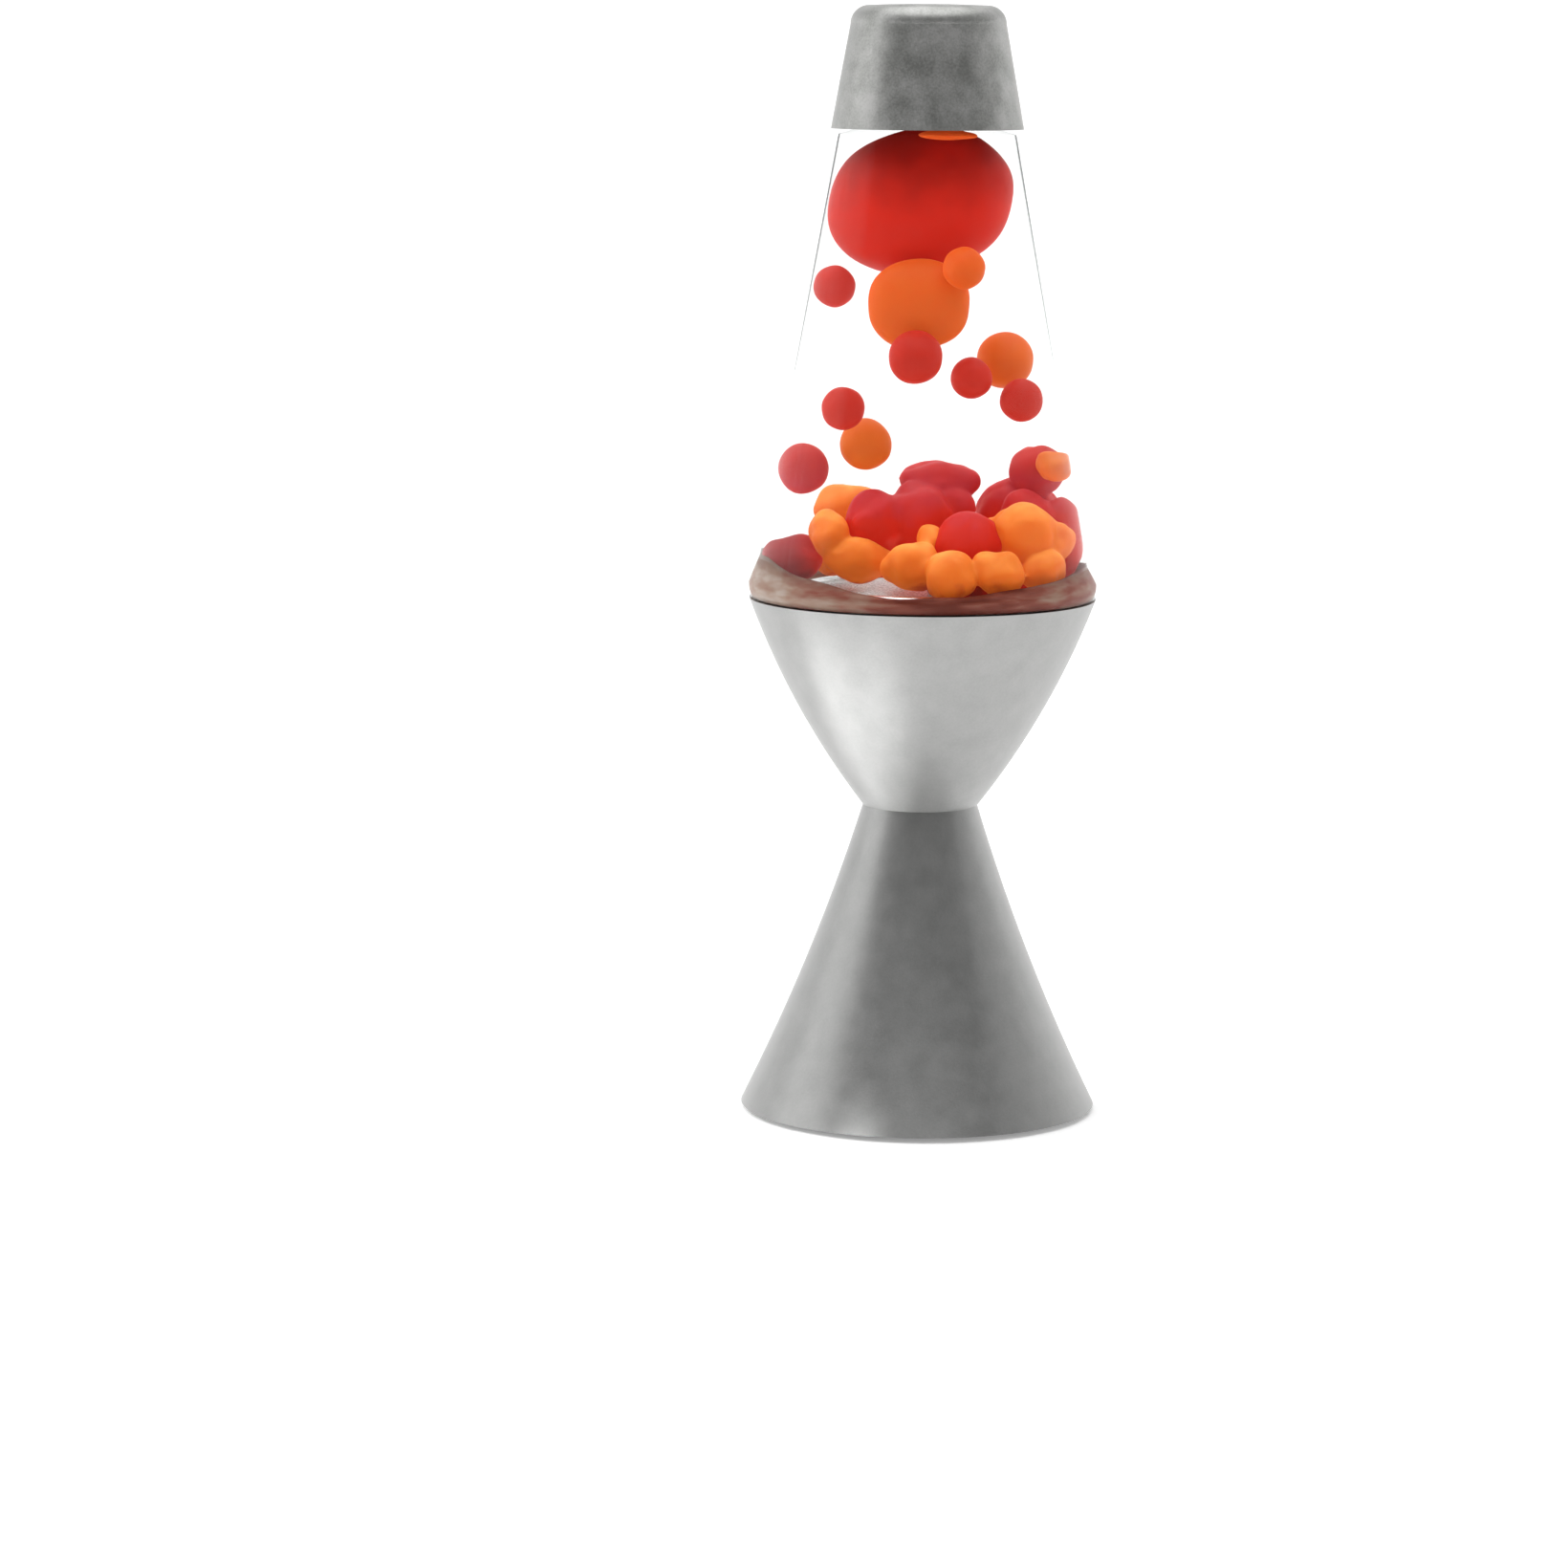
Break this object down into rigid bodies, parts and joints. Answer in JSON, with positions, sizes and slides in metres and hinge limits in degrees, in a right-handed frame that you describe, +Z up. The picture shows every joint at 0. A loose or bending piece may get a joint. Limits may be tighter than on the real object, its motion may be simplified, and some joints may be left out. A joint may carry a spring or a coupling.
{
  "type": "lava lamp",
  "caption": "Palm-size battery lava lamp: silver hourglass base, tapered clear globe of red and orange lava in clear liquid, and a silver cap.",
  "frame": {"origin": "centre of the foot ring, on the surface the lamp stands on", "axes": "+Z up through the cap, -Y towards the front, where the off switch is, +X to the right seen from the front"},
  "size_m": [0.041, 0.041, 0.127],
  "materials": {
    "skirt_and_cup_metal": "satin silver, softly mottled",
    "cap_metal": "satin silver, softly mottled",
    "clear_globe": "clear and smooth",
    "clear_liquid": "clear",
    "red_lava": "waxy, lit from below",
    "orange_lava": "waxy, lit from below",
    "bright_ring": "polished",
    "frosted_lens": "frosted",
    "stained_floor": "clear, stained by a film of old wax",
    "black_plastic": "fine spark-eroded grain",
    "black_rubber": "matt",
    "white_plastic": "smooth",
    "red_switch": "moulded",
    "screw_steel": "zinc plated",
    "spring_steel": "drawn wire",
    "cell_steel": "nickel plated",
    "contact_brass": "stamped sheet",
    "green_board": "solder mask over glass laminate",
    "led_epoxy": "clear epoxy",
    "resistor_body": "lacquered",
    "red_wire": "smooth insulation",
    "black_wire": "smooth insulation",
    "nut_plastic": "moulded"
  },
  "bodies": {
    "base": {"lower_skirt": "skirt_and_cup_metal", "upper_cup": "skirt_and_cup_metal", "waist_nut": "nut_plastic", "base_plate": "black_plastic", "base_plate_screws": "screw_steel", "foot_ring": "black_rubber", "battery_tube": "white_plastic", "button_cells": "cell_steel", "battery_spring": "spring_steel", "top_contact": "contact_brass", "side_contact": "contact_brass", "switch_housing": "black_plastic", "switch_terminals": "contact_brass", "led_board": "green_board", "board_screws": "screw_steel", "led": "led_epoxy", "led_leads": "spring_steel", "resistor": "resistor_body", "reflector": "white_plastic", "diffuser": "frosted_lens", "cup_gasket": "black_rubber", "red_wire": "red_wire", "black_wire": "black_wire", "jumper_wire": "red_wire"},
    "globe": {"globe": "clear_globe", "globe_floor": "stained_floor", "floor_seal": "black_rubber", "floor_bezel": "bright_ring", "floor_lens": "frosted_lens", "neck_plug": "black_rubber", "crimp_seal": "cap_metal", "clear_liquid": "clear_liquid", "settled_red_lava": "red_lava", "settled_orange_lava": "orange_lava", "top_orange_lava": "orange_lava"},
    "cap": {"cap": "cap_metal", "cap_liner": "black_rubber"},
    "battery_door": {"battery_door": "black_plastic", "door_contact": "contact_brass"},
    "door_screw": {"door_screw": "screw_steel"},
    "switch_knob": {"switch_knob": "red_switch"},
    "big_red_lava": {"big_red_lava": "red_lava"},
    "big_orange_lava": {"big_orange_lava": "orange_lava"},
    "red_drop_1": {"red_drop_1": "red_lava"},
    "red_drop_2": {"red_drop_2": "red_lava"},
    "red_drop_3": {"red_drop_3": "red_lava"},
    "red_drop_4": {"red_drop_4": "red_lava"},
    "red_drop_5": {"red_drop_5": "red_lava"},
    "red_drop_6": {"red_drop_6": "red_lava"},
    "orange_drop_1": {"orange_drop_1": "orange_lava"},
    "orange_drop_2": {"orange_drop_2": "orange_lava"},
    "orange_drop_3": {"orange_drop_3": "orange_lava"}
  },
  "joints": [
    {"name": "globe_lift", "type": "slide", "parent": "base", "child": "globe", "axis": [0, 0, 1], "range_m": [0, 0.026]},
    {"name": "cap_lift", "type": "slide", "parent": "globe", "child": "cap", "axis": [0, 0, 1], "range_m": [0, 0.016]},
    {"name": "battery_door_drop", "type": "slide", "parent": "base", "child": "battery_door", "axis": [0, 0, -1], "range_m": [0, 0.02]},
    {"name": "door_screw_turn", "type": "hinge", "parent": "battery_door", "child": "door_screw", "pos_m": [0.0103, 0, 0.001], "axis": [0, 0, 1], "continuous": true},
    {"name": "switch_slide", "type": "slide", "parent": "base", "child": "switch_knob", "axis": [1, 0, 0], "range_m": [0, 0.002]},
    {"name": "big_red_lava_float", "type": "slide", "parent": "globe", "child": "big_red_lava", "axis": [0, 0, 1], "range_m": [-0.0004, 0.0004], "deforming": ["clear_liquid"]},
    {"name": "big_orange_lava_float", "type": "slide", "parent": "globe", "child": "big_orange_lava", "axis": [0, 0, 1], "range_m": [-0.0005, 0.0001]},
    {"name": "red_drop_1_float", "type": "slide", "parent": "globe", "child": "red_drop_1", "axis": [0, 0, 1], "range_m": [-0.008, 0.0005]},
    {"name": "red_drop_2_float", "type": "slide", "parent": "globe", "child": "red_drop_2", "axis": [0, 0, 1], "range_m": [-0.012, 0.0002]},
    {"name": "red_drop_3_float", "type": "slide", "parent": "globe", "child": "red_drop_3", "axis": [0, 0, 1], "range_m": [-0.012, 0.002]},
    {"name": "red_drop_4_float", "type": "slide", "parent": "globe", "child": "red_drop_4", "axis": [0, 0, 1], "range_m": [-0.003, 0.002]},
    {"name": "red_drop_5_float", "type": "slide", "parent": "globe", "child": "red_drop_5", "axis": [0, 0, 1], "range_m": [-0.007, 0.006]},
    {"name": "red_drop_6_float", "type": "slide", "parent": "globe", "child": "red_drop_6", "axis": [0, 0, 1], "range_m": [-0.003, 0.001]},
    {"name": "orange_drop_1_float", "type": "slide", "parent": "globe", "child": "orange_drop_1", "axis": [0, 0, 1], "range_m": [-0.0002, 0.0004]},
    {"name": "orange_drop_2_float", "type": "slide", "parent": "globe", "child": "orange_drop_2", "axis": [0, 0, 1], "range_m": [-0.006, 0.006]},
    {"name": "orange_drop_3_float", "type": "slide", "parent": "globe", "child": "orange_drop_3", "axis": [0, 0, 1], "range_m": [-0.0012, 0.006]}
  ]
}
